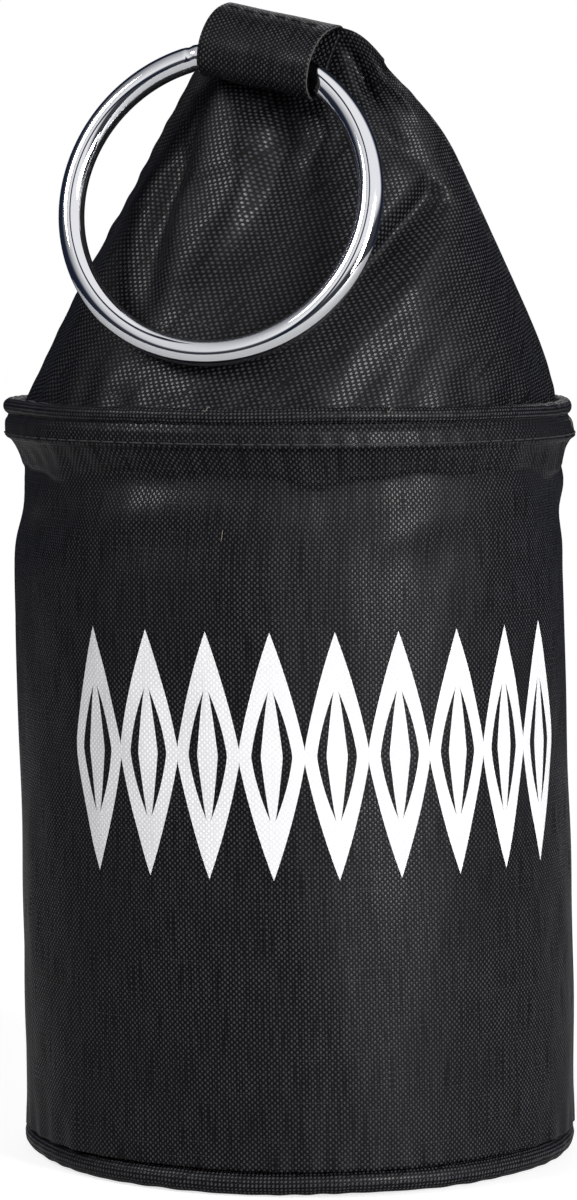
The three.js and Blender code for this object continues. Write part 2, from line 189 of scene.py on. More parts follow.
def numberBetween(tree, share, first, second):
    return addNode(tree, "ShaderNodeMix", {"data_type": "FLOAT"}, in0=share, in2=first, in3=second).outputs[0]


def colourBetween(tree, share, first, second):
    # each colour is a hex or a socket
    first, second = (linearOf(tone) if isinstance(tone, str) else tone for tone in (first, second))
    return addNode(tree, "ShaderNodeMix", {"data_type": "RGBA"}, in0=share, in6=first, in7=second).outputs[2]


def noise(tree, place, size, detail, dimensions="3D"):
    return addNode(tree, "ShaderNodeTexNoise", {"noise_dimensions": dimensions},
                   Vector=place, Scale=1 / size, Detail=detail).outputs[0]


def newMaterial(name, **shaderValues):
    material = bpy.data.materials.new(name)
    material.use_nodes = True
    shader = material.node_tree.nodes["Principled BSDF"]
    for key, value in shaderValues.items():
        shader.inputs[key.replace("_", " ")].default_value = value
    return material, material.node_tree, shader


def mottled(name, size, detail, first, second, **shaderValues):
    # a colour that wanders between two tones in patches of the given size
    material, tree, shader = newMaterial(name, **shaderValues)
    place = addNode(tree, "ShaderNodeTexCoord").outputs["Object"]
    patches = noise(tree, place, size, detail)
    tree.links.new(colourBetween(tree, patches, first, second), shader.inputs["Base Color"])
    return material, tree, shader, patches


# Plain weave: dyed polyester canvas, each thread a soft rounded float over the next.
# Its colour is painted lighter on the thread crowns as a painted highlight, and darker in the gaps and on the
# threads across as painted shade; this gives the cloth its fine pepper-and-salt grain where the light falls along
# it.
# The real threads are about 0.4 mm apart, and are drawn coarser so that they show.
weave = {
    "threadPitch": 0.6 * mm,
    "threadRelief": 0.035 * mm,
    "crown": 0.45,  # how soon a thread comes up at the ends of its float
    "slubSlowness": 0.06,  # a slub runs on for this much longer than it is wide
    # painted shade: the threads across are painted darker than the threads along
    "weftLightShare": 0.35,  # how bright the threads across are beside the threads along
    "shadeFrom": (0.17, 0.34),
    "glossFrom": (0.1, 0.8),
    "dustSize": 35 * mm,
    "dustFrom": (0.4, 0.8),
    "dustShare": 0.3,
    "specularLevel": 0.13,
}


def wovenCloth(name, dark, light, dust, crownRoughness, gapRoughness, strength=1.0, contrast=1.0):
    material, tree, shader = newMaterial(name, Roughness=crownRoughness, IOR=1.5,
                                         Specular_IOR_Level=weave["specularLevel"])
    uv = addNode(tree, "ShaderNodeUVMap", {"uv_map": "cloth"}).outputs[0]
    parts = addNode(tree, "ShaderNodeSeparateXYZ", in0=uv)
    waves = []
    for axis in (0, 1):
        turn = maths(tree, "MULTIPLY", parts.outputs[axis], math.pi / weave["threadPitch"])
        waves.append(maths(tree, "SINE", turn))
    warpOnTop = maths(tree, "GREATER_THAN", maths(tree, "MULTIPLY", *waves), 0.0)
    rounded = [maths(tree, "ABSOLUTE", wave) for wave in waves]
    lengthwise = [maths(tree, "POWER", wave, weave["crown"]) for wave in rounded]
    warp = maths(tree, "MULTIPLY", rounded[0], lengthwise[1])
    weft = maths(tree, "MULTIPLY", lengthwise[0], rounded[1])
    height = numberBetween(tree, warpOnTop, weft, warp)
    # slubs: threads that are a little thicker and paler for part of their run
    slubs = []
    for stretch in ((1, weave["slubSlowness"]), (weave["slubSlowness"], 1)):
        place = addNode(tree, "ShaderNodeVectorMath", {"operation": "MULTIPLY"}, in0=uv,
                        in1=(stretch[0] / weave["threadPitch"], stretch[1] / weave["threadPitch"], 0))
        slubs.append(noise(tree, place.outputs[0], 1.0, 2.0, "2D"))
    slub = numberBetween(tree, warpOnTop, slubs[1], slubs[0])
    # painted light and shade: the colour is lighter where a thread rises on top (a painted highlight) and darker
    # down in the gaps and on the threads across (painted shade); only the slubs' paler runs are the thread's own
    # tone
    lit = maths(tree, "MULTIPLY", height, slub)
    floats = maths(tree, "MULTIPLY_ADD", warpOnTop, 1 - weave["weftLightShare"], weave["weftLightShare"])
    facing = maths(tree, "MULTIPLY", lit, floats)
    shade = ranged(tree, facing, weave["shadeFrom"], (0.5 - 0.5 * contrast, 0.5 + 0.5 * contrast))
    colour = colourBetween(tree, shade, dark, light)
    # faint dust, which greys the cloth in soft patches
    patches = noise(tree, uv, weave["dustSize"], 4.0, "2D")
    dusty = ranged(tree, patches, weave["dustFrom"], (0.0, weave["dustShare"]))
    tree.links.new(colourBetween(tree, dusty, colour, dust), shader.inputs["Base Color"])
    # the crowns of the threads are smooth filament, the gaps between them are dull
    gloss = ranged(tree, shade, weave["glossFrom"], (gapRoughness, crownRoughness))
    tree.links.new(gloss, shader.inputs["Roughness"])
    relief = addNode(tree, "ShaderNodeBump", Height=lit, Distance=weave["threadRelief"], Strength=strength)
    tree.links.new(relief.outputs[0], shader.inputs["Normal"])
    return material


blackCanvas = wovenCloth("blackPolyesterCanvas", "#000001", "#3d3e42", "#0b0b0c", 0.22, 0.57)
blackBias = wovenCloth("blackBiasBinding", "#000001", "#444549", "#101011", 0.26, 0.57)

# Screen ink on canvas: matte white, with the weave's painted light and shade showing through a little.
whiteInk = wovenCloth("whiteScreenInk", "#dcdcde", "#fafafa", "#f2f2f2", 0.6, 0.8, 0.5)

# Spun polyester sewing thread: matte, dull black, paler where it stands up into the light.
blackThread = mottled("blackSpunThread", 0.6 * mm, 2.0, "#0a0a0b", "#303132", Roughness=0.7, IOR=1.5)[0]

# Frayed canvas edge: cut filament ends, greyer and duller than the woven face.
frayed = mottled("frayedCanvasEdge", 0.5 * mm, 1.0, "#141414", "#5c5b57", Roughness=0.85, IOR=1.5)[0]

# Cotton lint and frayed thread ends, beige and fluffy.
lint = mottled("cottonLint", 1.5 * mm, 1.0, "#5d574d", "#8f887b", Roughness=0.9)[0]

# Spun polyester wadding: off-white, soft, with the clumping of loose fibre.
spunFibre, fibreTree, fibreShader, fibreClumps = mottled(
    "spunPolyesterFibre", 4 * mm, 5.0, "#c9c7c1", "#efeeea", Roughness=0.95, IOR=1.5)
fibreRelief = addNode(fibreTree, "ShaderNodeBump", Height=fibreClumps, Distance=0.8 * mm)
fibreTree.links.new(fibreRelief.outputs[0], fibreShader.inputs["Normal"])

# Clear polythene over sand: tan grains of about half a millimetre behind a slightly glossy skin.
baggedSand, sandTree, sandShader = newMaterial("sandInPolythene", Roughness=0.35, IOR=1.51)
sandPlace = addNode(sandTree, "ShaderNodeTexCoord").outputs["Object"]
sandCells = addNode(sandTree, "ShaderNodeTexVoronoi", Vector=sandPlace, Scale=1 / (0.8 * mm))
sandGrains = sandCells.outputs["Distance"]
sandTree.links.new(colourBetween(sandTree, sandGrains, "#c2a982", "#8f7652"), sandShader.inputs["Base Color"])
sandRelief = addNode(sandTree, "ShaderNodeBump", {"invert": True}, Height=sandGrains, Distance=0.3 * mm)
sandTree.links.new(sandRelief.outputs[0], sandShader.inputs["Normal"])

# Chromium plate on polished steel wire: near mirror, with faint handling haze.
chrome, chromeTree, chromeShader, haze = mottled(
    "chromiumPlatedSteel", 9 * mm, 4.0, "#f0f1f4", "#e4e7ec", Metallic=1.0, Roughness=0.05)
chromeTree.links.new(ranged(chromeTree, haze, (0.4, 0.75), (0.035, 0.12)), chromeShader.inputs["Roughness"])
print("materials done")


# the drum's wall

drum = {
    "radius": 60.3 * mm,
    "bottom": 5.5 * mm,
    "top": 161.6 * mm,
    "lean": 2.85 * mm,  # how far the rim stands to the left
    "leanPower": 1.3,
    "waistAside": 1.3 * mm,
    "waistReach": 10 * mm,
    "waistDrop": 13.3 * mm,
    "waistWander": 1.3 * mm,
    "clothThickness": 0.9 * mm,
    "columns": 300,
    "bodyRows": 92,
    "hemRows": 46,
    "footRows": 16,
    "outlineSteps": 400,
    "footTop": 16 * mm,
    "bodyTop": 147.6 * mm,
    "lap": 0.8 * mm,  # the felled seam at the back
    "lapFrom": math.radians(176.2),
    "lapTo": math.radians(176.8),
    "hemDrop": 4.6 * mm,  # height of the folded hem under the piping
    "hemStep": 0.5 * mm,
    "tuckUp": 0.8 * mm,  # the wall's top meets the piping
    # radius past the nominal one and how far below the top edge, in millimetres
    "outline": [(0.55, 156.1), (0.55, 112.4), (0.0, 78.0), (0.1, 31.6),
                (-1.7, 13.3), (-0.85, 9.3), (1.7, 3.0), (0.57, 0.0)],
}
pipingMiddle = drum["top"] + 2.2 * mm


def axisAt(height):
    share = np.maximum(height, 0) / pipingMiddle
    waist = bump(height - drum["top"] + drum["waistDrop"], drum["waistReach"])
    return drum["waistAside"] * waist - drum["lean"] * share ** drum["leanPower"]


drumPlaces = [(drum["radius"] + out * mm, drum["top"] - drop * mm) for out, drop in drum["outline"]]
drumOutline = throughPoints(drumPlaces, drum["outlineSteps"])


# how far the wall's cloth stands in and out, in millimetres
relief = {
    "hollows": 0.45,  # shallow, over the whole wall
    "slantedHollows": 0.16,
    "fineHollows": 0.10,
    "patches": 0.22,
    "belly": 0.25,
    "sag": 0.75,  # creases where the slack cloth sags under the hem
    "smallSag": 0.45,
    "diagonals": 0.5,
    "hemFold": 0.3,  # the hem's lower edge
    "hemTop": 0.45,
    "hemMiddle": -0.15,
    "hemPuckers": 0.16,
    "waistPuckers": 0.18,
    "footPuckers": 0.25,
}


def wallFolds(angle, height):
    below = drum["top"] - height
    hollows = relief["hollows"] * np.sin(5 * angle + 0.8) * np.sin(height / (34 * mm) + 1.0)
    slant = height / (21 * mm)
    hollows += relief["slantedHollows"] * np.sin(17 * angle + slant + 1.2) * np.sin(height / (11 * mm) + 3 * angle)
    slant = height / (13 * mm)
    drift = 5 * np.sin(4 * angle)
    hollows += relief["fineHollows"] * np.sin(29 * angle - slant) * np.sin(height / (8 * mm) + drift)
    drift = 2.2 * np.sin(2 * angle)
    hollows += relief["patches"] * np.sin(8 * angle - 1.1) * np.sin(height / (19 * mm) + drift)
    hollows += relief["belly"] * np.sin(9 * angle + 2.1) * bump(below - 60 * mm, 40 * mm)
    # the creases run down from the hem at a slant
    underHem = smoothStep(below, 4.5 * mm, 7 * mm)
    slack = bump(below - 17 * mm, 10 * mm) * underHem
    drag = below + 10 * mm * np.sin(1.5 * angle + 0.4)
    sag = relief["sag"] * np.sin(3 * angle - 0.6) * np.sin(drag / (3.4 * mm))
    sag += relief["smallSag"] * np.sin(6 * angle + 1.7) * np.sin(below / (2.6 * mm) + 4 * angle)
    sag += relief["diagonals"] * np.sin(11 * angle + below / (6 * mm)) * bump(below - 24 * mm, 13 * mm)
    # the folded hem stands out, and is drawn in along its seam
    hemEdge = drum["hemDrop"] - 0.4 * mm, drum["hemDrop"] + 0.5 * mm
    hem = drum["hemStep"] / mm * (1 - smoothStep(below, *hemEdge))
    hem += relief["hemFold"] * bump(below - drum["hemDrop"] + 0.5 * mm, 0.55 * mm)
    hem += relief["hemTop"] * bump(below - 0.5 * mm, 0.9 * mm)
    hem += relief["hemMiddle"] * bump(below - 2.4 * mm, 0.9 * mm)
    # puckers along the seams
    uneven = 2 * np.sin(3 * angle)
    puckers = relief["hemPuckers"] * np.sin(70 * angle + uneven) * bump(below - 3.2 * mm, 3.0 * mm)
    puckers += relief["waistPuckers"] * np.sin(62 * angle + uneven) * bump(below - 7.5 * mm, 3.0 * mm)
    uneven = 2 * np.sin(4 * angle)
    puckers += relief["footPuckers"] * np.sin(48 * angle + uneven) * bump(height - drum["bottom"], 6 * mm)
    return (hollows * underHem + sag * slack + hem + puckers) * mm


def onWall(angle, height, out=0.0):
    below = drum["top"] - height
    # the waist under the hem wanders up and down, as the slack cloth does
    waves = np.sin(5 * angle + 1.1) + 0.7 * np.sin(11 * angle + 0.3) + 0.4 * np.sin(23 * angle)
    wander = drum["waistWander"] * waves
    level = height + wander * bump(below - 15 * mm, 7 * mm)
    radius = np.interp(level, drumOutline[:, 1], drumOutline[:, 0]) + wallFolds(angle, height) + out
    x, y = axisAt(height) + radius * np.sin(angle), -radius * np.cos(angle)
    return np.stack([x, y, height + 0 * angle], axis=-1)


wallAngles = np.linspace(-math.pi, math.pi, drum["columns"] + 1)
wallHeights = np.concatenate([
    np.linspace(drum["bottom"], drum["footTop"], drum["footRows"])[:-1],
    np.linspace(drum["footTop"], drum["bodyTop"], drum["bodyRows"])[:-1],
    np.linspace(drum["bodyTop"], drum["top"] + drum["tuckUp"], drum["hemRows"])])
angleGrid, heightGrid = np.meshgrid(wallAngles[:-1], wallHeights)
lap = drum["lap"] * smoothStep(np.abs(angleGrid), drum["lapFrom"], drum["lapTo"])
coverWall = gridMesh("coverWall", onWall(angleGrid, heightGrid, lap),
                     clothUv(wallAngles * drum["radius"], np.append(wallHeights, 0)), closedAcross=True)
applyModifier(coverWall, "SOLIDIFY", thickness=drum["clothThickness"], offset=-1)
finishPiece(coverWall, blackCanvas, "bag", "cloth", "side_panel")
print("wall done")


# rolled edges

rolls = {
    "pipingRadius": 1.9 * mm,
    "pipingMajor": 60.7 * mm,
    "bindingRadius": 2.6 * mm,
    "bindingMajor": 58.6 * mm,
    "columns": 360,
    "sides": 18,
    "biasTurn": math.radians(45),
    "wander": ((0.25 * mm, 4, 0.5), (0.15 * mm, 9, 0.0)),  # height, waves round and start of each
    "pipingPuckers": (58, 0.12 * mm),  # how many round the drum, and how deep
    "bindingPuckers": (52, 0.1 * mm),
}


def clothRoll(name, major, minor, height, puckers, puckerDepth):
    angles = np.linspace(-math.pi, math.pi, rolls["columns"] + 1)
    sides = np.linspace(0, 2 * math.pi, rolls["sides"] + 1)
    angle, side = np.meshgrid(angles[:-1], sides[:-1])
    pucker = puckerDepth * np.sin(puckers * angle + 1.5 * np.sin(7 * angle))
    pucker = pucker * (0.6 + 0.4 * np.sin(11 * angle + 1))
    radius = minor - puckerDepth * 1.2 + pucker
    wander = sum(depth * np.sin(waves * angle + start) for depth, waves, start in rolls["wander"])
    out = major + radius * np.cos(side)
    z = height + 0.6 * wander + radius * np.sin(side)
    z = np.maximum(z, 0.0)
    grid = np.stack([axisAt(z) + out * np.sin(angle), -out * np.cos(angle), z], axis=-1)
    uv = clothUv(angles * major, sides * minor, rolls["biasTurn"])
    return gridMesh(name, grid, uv, closedAcross=True, closedUp=True)


rimPiping = clothRoll("rimPiping", rolls["pipingMajor"], rolls["pipingRadius"], pipingMiddle,
                      *rolls["pipingPuckers"])
finishPiece(rimPiping, blackBias, "bag", "binding", "rim_piping")
baseBinding = clothRoll("baseBinding", rolls["bindingMajor"], rolls["bindingRadius"], rolls["bindingRadius"],
                        *rolls["bindingPuckers"])
finishPiece(baseBinding, blackBias, "bag", "binding", "base_binding")
print("rolls done")


# the roof

roof = {
    "footRadius": 58.5 * mm,
    "foot": 162.5 * mm,
    "rise": 84.5 * mm,
    "ridgeLength": 38.2 * mm,
    "ridgeForward": 30.5 * mm,
    "ridgeAside": 3.2 * mm,
    "ridgeYaw": math.radians(-20.5),
    "ridgeSlope": math.radians(-12),
    "ridgeCrown": 2 * mm,
    "ridgeHalf": 1.05 * mm,
    "leftWave": 0.8 * mm,
    "rightSwell": 4.3 * mm,
    "frontSwell": 0.8 * mm,
    "backSwell": 4 * mm,
    "seamTurn": 1.6 * mm,  # cloth turned in along the seams
    "columns": 168,
    "rows": 132,
    "clothWidth": 112 * mm,  # of a panel, half way up
    "clothHeight": 90 * mm,
    "weaveTurn": math.radians(32),  # the panel is cut on the slant
    "footSpread": 1.15,  # the panel narrows from this share of its width to the ridge's
    "ridgeSpread": 0.4,
    "shoulders": ((6 * mm, 2 * mm), (9 * mm, 4.5 * mm)),  # length and drop at the ridge's left and right ends
    "fillingGap": 1.3 * mm,
    "shoulderFrom": 0.7,
    "foldFade": 0.06,  # the share under the ridge over which folds fade out
    "footFade": (-0.02, 0.05),
    # depth in mm, distance between two or count, distance from the seam and reach
    "sidePuckers": (0.12, 6.4 * mm, 4.5 * mm, 2.5 * mm),
    "footPuckers": (0.3, 15, 3 * mm, 5 * mm),
    "leastTurn": 0.1,  # the share of a turned-in seam that is left at the ridge's ends
    "turnFade": 0.12,
    "capEnd": 0.4 * mm,
    "capDrop": 0.15 * mm,
    "capCrown": 0.12 * mm,
    "tuckFrom": (0.5 * mm, 6 * mm),
    "fillingLevels": (0.02, 0.97),
    "fillingColumns": 72,
    "fillingRows": 60,
    "fillingGirth": 240 * mm,
    "fillingSeamGap": 0.4 * mm,
}
yaw, slope = roof["ridgeYaw"], roof["ridgeSlope"]
ridgeAlong = np.array([math.cos(slope) * math.cos(yaw), math.cos(slope) * math.sin(yaw), math.sin(slope)])
ridgeOut = np.array([math.sin(yaw), -math.cos(yaw), 0.0])
ridgeUp = np.cross(ridgeOut, ridgeAlong)
footMiddle = np.array([float(axisAt(roof["foot"])), 0.0, roof["foot"]])
ridgeMiddle = footMiddle + [roof["ridgeAside"], -roof["ridgeForward"], roof["rise"] - roof["ridgeCrown"]]
ridgeLeft = ridgeMiddle - ridgeAlong * roof["ridgeLength"] / 2
ridgeRight = ridgeMiddle + ridgeAlong * roof["ridgeLength"] / 2


def line(start, end, share):
    return mix(np.array(start), np.array(end), share[..., None])


def nudge(x, y, z):
    x, y, z = np.broadcast_arrays(x, y, z)
    return np.stack([x, y, z], axis=-1)


def creaseLine(across, up, places, depths, width):
    # a crease down a line of places on the panel, its depth given at each place;
    # a pair of widths is its left and right flank
    leftWidth, rightWidth = width if isinstance(width, tuple) else (width, width)
    best = np.full(across.shape, np.inf)
    rightSide = np.zeros(across.shape, bool)
    depth = np.zeros(across.shape)
    scale = np.array([roof["clothWidth"], roof["clothHeight"]])
    for (a, b), (da, db) in zip(zip(places, places[1:]), zip(depths, depths[1:])):
        a, b = np.array(a) * scale, np.array(b) * scale
        x, y = across * scale[0] - a[0], up * scale[1] - a[1]
        run = b - a
        share = np.clip((x * run[0] + y * run[1]) / (run @ run), 0, 1)
        distance = np.hypot(x - share * run[0], y - share * run[1])
        nearer = distance < best
        best = np.where(nearer, distance, best)
        depth = np.where(nearer, mix(da, db, share), depth)
        rightSide = np.where(nearer, run[0] * y - run[1] * x > 0, rightSide)
    return depth * mm * bump(best, np.where(rightSide, rightWidth, leftWidth) * mm)


# places are shares across and up the panel, depths and widths are in millimetres
frontFolds = [
    ([(0.231, 0.80), (0.238, 0.656), (0.238, 0.537), (0.256, 0.413), (0.275, 0.319), (0.285, 0.22)],
     [-0.8, -2.6, -3.8, -3.6, -2.4, -0.3], (4.5, 3.4)),  # valley at the left
    ([(0.32, 0.85), (0.37, 0.669), (0.395, 0.575), (0.389, 0.488), (0.366, 0.413), (0.343, 0.338),
      (0.32, 0.269)],
     [0.6, 2.0, 2.5, 2.4, 2.0, 1.2, 0.2], (14, 5)),  # crest of the big fold, broad to the left
    ([(0.43, 0.88), (0.485, 0.731), (0.46, 0.613), (0.428, 0.488), (0.4, 0.381), (0.36, 0.281)],
     [-4.2, -5.0, -3.8, -2.9, -1.9, -0.3], (4.4, 15)),  # it falls off here, from under the tab down to the left
    ([(0.175, 0.66), (0.16, 0.57), (0.138, 0.488), (0.150, 0.363), (0.16, 0.25)], [0, 1.0, 1.3, 1.1, 0.2], 4.5),
    ([(0.54, 0.86), (0.56, 0.735), (0.53, 0.66), (0.51, 0.56)], [0.4, 1.8, 1.2, 0.2], 3.0),
    ([(0.80, 0.63), (0.781, 0.60), (0.681, 0.494), (0.619, 0.406), (0.562, 0.294), (0.50, 0.18)],
     [-0.3, -3.0, -4.8, -4.3, -2.5, -0.2], (2.6, 5.2)),  # sharp drag line from the ring down to the left
    ([(0.863, 0.64), (0.75, 0.47), (0.665, 0.338), (0.59, 0.206)],
     [0.4, 2.2, 2.2, 0.5], (4, 8)),  # drawn up beside it
    ([(0.93, 0.26), (0.94, 0.16), (0.95, 0.03)], [0, -1.6, -2.0], 2.2),  # short tuck above the rim
    ([(0.655, 0.95), (0.69, 0.885), (0.73, 0.80)], [-0.8, -2.4, -0.5], 3),  # bunched cloth beside the tab
    ([(0.74, 0.97), (0.80, 0.90), (0.84, 0.82)], [0.3, 1.8, 0.3], 3.2),
    ([(0.66, 0.82), (0.72, 0.72), (0.80, 0.66)], [-0.4, -1.4, -0.3], 3.5),
    ([(0.18, 0.20), (0.32, 0.13), (0.48, 0.16)], [-0.3, -1.3, -0.3], 6),  # pressed in where the ring lies
]
backFolds = [
    ([(0.42, 0.92), (0.36, 0.60), (0.26, 0.25)], [-2.4, -2.2, -0.4], 7),
    ([(0.60, 0.90), (0.66, 0.58), (0.76, 0.28)], [-2.2, -1.8, -0.4], 6),
    ([(0.50, 0.80), (0.51, 0.45), (0.50, 0.20)], [0.6, 1.6, 0.4], 10),
    ([(0.12, 0.70), (0.16, 0.45), (0.12, 0.20)], [-0.4, -1.2, -0.3], 6),
]


def roofSurface(isFront, across, up):
    left = line(footMiddle - [roof["footRadius"], 0, 0], ridgeLeft, up)
    left += nudge(-roof["leftWave"] * np.sin(2 * math.pi * up), 0, 0)
    right = line(footMiddle + [roof["footRadius"], 0, 0], ridgeRight, up)
    right += nudge(roof["rightSwell"] * (1 - np.abs(2 * up - 1) ** 5), 0, 0)
    side = 1 if isFront else -1
    swell = roof["frontSwell"] if isFront else roof["backSwell"]
    faceFoot = footMiddle - [0, side * roof["footRadius"], 0]
    face = line(faceFoot, ridgeMiddle + side * ridgeOut * roof["ridgeHalf"], up)
    face += nudge(0, -side * swell * np.sin(math.pi * up), 0)
    middle = (left + right) / 2
    angle = (math.pi * across)[..., None]
    grid = middle - (right - middle) * np.cos(angle) + (face - middle) * np.sin(angle)
    alongRidge = (grid - ridgeLeft) @ ridgeAlong
    drop = 0
    for fromEnd, (reach, fall) in zip((alongRidge, roof["ridgeLength"] - alongRidge), roof["shoulders"]):
        drop = drop + fall * np.clip(1 - fromEnd / reach, 0, 1) ** 2 * smoothStep(up, roof["shoulderFrom"], 1)
    return grid + nudge(0, 0, roof["ridgeCrown"] * up**3 * np.sin(math.pi * across) - drop)


settling = {
    "frames": 12,
    "quality": 5,
    "mass": 0.15,
    "growth": 0.03,  # cloth to spare between the seams
    "pressure": 0.05,
    "tension": 18,
    "shear": 6,
    "bending": 1.2,
    "seamCells": 8,  # the seams' hold reaches in this far
    "seamHold": (1.4, 6, 0.02),  # its strength at the seam, the cells to each unit it loses, and the least
    "smoothing": 8,
    "reach": 0.55 * mm,  # no point moves further than this
}


def settleCloth(piece, columns, rows):
    # the panel takes up its spare cloth in small folds of its own, held at its seams
    points = np.array([v.co for v in piece.data.vertices])
    held = piece.vertex_groups.new(name="seams")
    strongest, cells, least = settling["seamHold"]
    for index in range(len(points)):
        row, column = divmod(index, columns)
        fromSeam = min(column, columns - 1 - column, row, rows - 1 - row)
        if fromSeam < settling["seamCells"]:
            held.add([index], min(1.0, max(least, strongest - fromSeam / cells)), "REPLACE")
    modifier = piece.modifiers.new("Settling", "CLOTH")
    cloth = modifier.settings
    cloth.quality = settling["quality"]
    cloth.mass = settling["mass"]
    cloth.tension_stiffness = cloth.compression_stiffness = settling["tension"]
    cloth.shear_stiffness = settling["shear"]
    cloth.bending_stiffness = settling["bending"]
    cloth.use_pressure = True
    cloth.uniform_pressure_force = settling["pressure"]
    cloth.shrink_min = -settling["growth"]
    cloth.vertex_group_mass = held.name
    cloth.effector_weights.gravity = 0
    modifier.collision_settings.use_collision = False
    modifier.point_cache.frame_end = settling["frames"]
    for number in range(1, settling["frames"] + 1):
        scene.frame_set(number)
    selectOnly(piece)
    bpy.ops.object.modifier_apply(modifier=modifier.name)
    scene.frame_set(1)
    moved = (np.array([v.co for v in piece.data.vertices]) - points).reshape(rows, columns, 3)
    # the narrow cells at the ridge ripple more finely than cloth can
    for number in range(settling["smoothing"]):
        moved[1:-1] = (moved[:-2] + 2 * moved[1:-1] + moved[2:]) / 4
        moved[:, 1:-1] = (moved[:, :-2] + 2 * moved[:, 1:-1] + moved[:, 2:]) / 4
    moved = moved.reshape(-1, 3)
    length = lengthsOf(moved)
    print(piece.name, "settled by", round(float(length.mean()) / mm, 2), "mm before the cap")
    moved = moved * np.tanh(length / settling["reach"]) * settling["reach"] / np.maximum(length, 1e-9)
    piece.data.vertices.foreach_set("co", (points + moved).astype(np.float32).ravel())
    piece.data.update()


def foldDepth(across, up, folds):
    # the folds fade out at the side seams, the ridge and the foot
    depth = sum(creaseLine(across, up, *fold) for fold in folds) * np.sin(math.pi * across) ** 0.5
    return depth * smoothStep(1 - up, 0, roof["foldFade"]) * smoothStep(up, *roof["footFade"])


def seamPuckers(across, up):
    edge = np.minimum(across, 1 - across) * roof["clothWidth"]
    foot = up * roof["clothHeight"]
    depth, pitch, middle, reach = roof["sidePuckers"]
    sides = depth * np.sin(2 * math.pi * foot / pitch + 2 * np.sin(9 * up)) * bump(edge - middle, reach)
    depth, count, middle, reach = roof["footPuckers"]
    bottom = depth * np.sin(2 * math.pi * across * count + 3 * np.sin(5 * across)) * bump(foot - middle, reach)
    return (sides + bottom) * mm * (1 - up**6)


def turnedIn(seam, farSeam):
    # two columns of cloth that turn in from a side seam, less so near the ridge
    inward = farSeam - seam
    inward = inward / np.maximum(lengthsOf(inward), 1e-9)
    toTop = 1 - np.linspace(0, 1, len(seam))[:, None]
    turn = roof["seamTurn"] * mix(roof["leastTurn"], 1, smoothStep(toTop, 0, roof["turnFade"]))
    return np.stack([seam + inward * turn, seam + inward * turn * 0.3], axis=1)


def ridgeCap(topRow):
    # three rows of cloth that lie over the ridge and tuck down behind its seam
    alongRidge = np.clip((topRow - ridgeLeft) @ ridgeAlong, roof["capEnd"], roof["ridgeLength"] - roof["capEnd"])
    topLine = ridgeLeft + alongRidge[:, None] * ridgeAlong
    topLine[:, 2] = topRow[:, 2] - roof["capDrop"]
    fromEnds = np.minimum(alongRidge, roof["ridgeLength"] - alongRidge)[:, None]
    tuck = roof["seamTurn"] * mix(roof["leastTurn"], 1, smoothStep(fromEnds, *roof["tuckFrom"]))
    return np.stack([mix(topRow, topLine, 0.5) + [0, 0, roof["capCrown"]], topLine, topLine - tuck * [0, 0, 1]])


def roofPanel(name, isFront, folds):
    across, up = np.meshgrid(np.linspace(0, 1, roof["columns"]), np.linspace(0, 1, roof["rows"]))
    grid = roofSurface(isFront, across, up)
    normals = surfaceNormals(grid) * (1 if isFront else -1)
    grid = grid + normals * (foldDepth(across, up, folds) + seamPuckers(across, up))[..., None]
    left, right = grid[:, 0], grid[:, -1]
    grid = np.concatenate([turnedIn(left, right), grid, turnedIn(right, left)[:, ::-1]], axis=1)
    grid = np.concatenate([grid, ridgeCap(grid[-1])], axis=0)
    rows, columns = grid.shape[:2]
    upward = np.linspace(0, 1, rows)
    uv = clothUv(np.linspace(-0.5, 0.5, columns) * roof["clothWidth"], upward * roof["clothHeight"])
    uv[..., 0] *= mix(roof["footSpread"], roof["ridgeSpread"], upward)[:, None]
    c, s = math.cos(roof["weaveTurn"]), math.sin(roof["weaveTurn"])
    uv = np.stack([uv[..., 0] * c - uv[..., 1] * s, uv[..., 0] * s + uv[..., 1] * c], axis=-1)
    if not isFront:
        grid = grid[:, ::-1]
    piece = gridMesh(name, grid, uv)
    settleCloth(piece, columns, rows)
    applyModifier(piece, "SOLIDIFY", thickness=drum["clothThickness"], offset=-1, thickness_clamp=1.5)
    return piece


def foldedFace(isFront, folds, inset):
    # the cloth's face without its turnings, set inwards
    levels = np.linspace(*roof["fillingLevels"], roof["fillingRows"])
    across, up = np.meshgrid(np.linspace(0, 1, roof["fillingColumns"]), levels)
    grid = roofSurface(isFront, across, up)
    normals = surfaceNormals(grid) * (1 if isFront else -1)
    return grid + normals * (foldDepth(across, up, folds) - inset)[..., None]


def fillingPiece():
    # spun fibre that fills the cover under both roof panels, closed with a flat bottom and top
    inset = drum["clothThickness"] + roof["fillingGap"]
    front = foldedFace(True, frontFolds, inset)
    back = foldedFace(False, backFolds, inset)[:, ::-1]
    middle = (front[:, :1] + front[:, -1:]) / 2
    layers = np.concatenate([front[:, 1:-1], back[:, 1:-1]], axis=1)
    inward = middle - layers
    layers = layers + inward / lengthsOf(inward) * np.minimum(roof["fillingSeamGap"], lengthsOf(inward) * 0.2)
    ends = np.repeat(middle[[0, -1]], layers.shape[1], axis=1)
    closed = np.concatenate([ends[:1], layers, ends[1:]])
    uLine = np.linspace(0, roof["fillingGirth"], layers.shape[1] + 1)
    vLine = np.linspace(0, roof["clothHeight"], closed.shape[0])
    piece = gridMesh("fibreFill", closed, clothUv(uLine, vLine), closedAcross=True)
    closeUp(piece)
    return piece


fibreFill = fillingPiece()
finishPiece(fibreFill, spunFibre, "bag", "fibre", "fibre_filling")

roofFront = roofPanel("roofFront", True, frontFolds)
finishPiece(roofFront, blackCanvas, "bag", "cloth", "roof_front_panel")
roofBack = roofPanel("roofBack", False, backFolds)
finishPiece(roofBack, blackCanvas, "bag", "cloth", "roof_back_panel")
print("roof done")


# ring and tab

